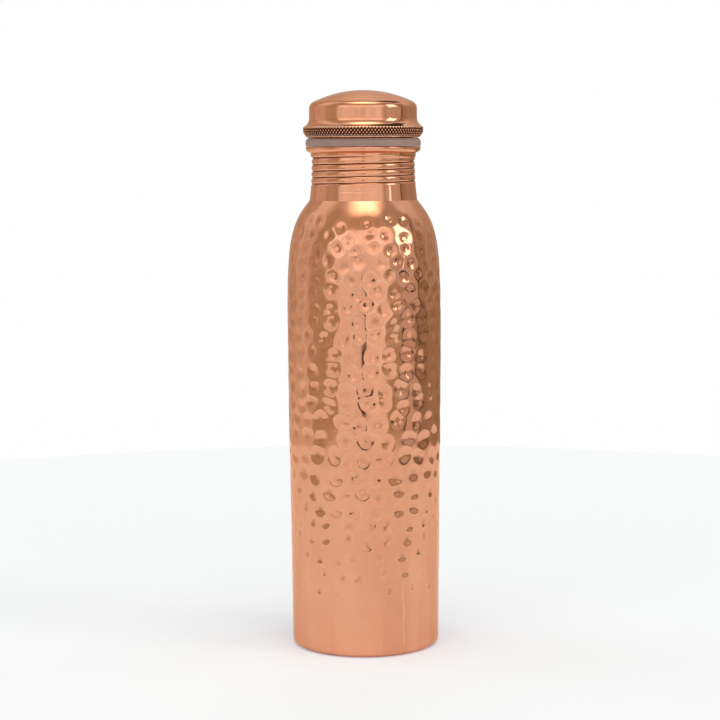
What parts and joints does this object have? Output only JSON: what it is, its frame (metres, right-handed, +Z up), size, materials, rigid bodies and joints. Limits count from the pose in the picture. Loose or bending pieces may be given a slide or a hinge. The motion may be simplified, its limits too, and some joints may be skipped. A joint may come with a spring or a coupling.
{
  "type": "water bottle",
  "caption": "Round-shouldered hammered copper water bottle with a threaded neck, a silicone seal and a domed, knurled screw cap that turns and lifts off.",
  "frame": {"origin": "centre of the foot's contact ring, on the surface that the bottle stands on", "axes": "+Z up along the bottle's axis, which is also the axis of the cap's thread"},
  "size_m": [0.0734, 0.0734, 0.2659],
  "materials": {
    "hammered_copper": "hammered and polished copper",
    "neck_copper": "polished copper with a rolled thread",
    "cap_copper": "polished copper with a knurled rim",
    "inner_copper": "spun copper, duller than the outside",
    "braze": "cleaned braze",
    "solder": "tin solder",
    "silicone": "slightly see-through silicone"
  },
  "bodies": {
    "bottle": {"body_shell": "hammered_copper", "neck_collar": "neck_copper", "neck_braze": "braze", "base_disc": "inner_copper", "base_braze": "braze"},
    "seal": {"seal_ring": "silicone"},
    "cap": {"cap_shell": "cap_copper", "cap_plug": "inner_copper", "cap_solder": "solder"}
  },
  "joints": [
    {"name": "cap_lift", "type": "slide", "parent": "bottle", "child": "seal", "axis": [0, 0, 1], "range_m": [0, 0.0181]},
    {"name": "cap_turn", "type": "hinge", "parent": "seal", "child": "cap", "pos_m": [0, 0, 0.2434], "axis": [0, 0, 1], "range_deg": [0, 2160]}
  ],
  "couplings": [
    {"joint": "cap_lift", "follows": "cap_turn", "m_per_rad": 0.00047746}
  ]
}
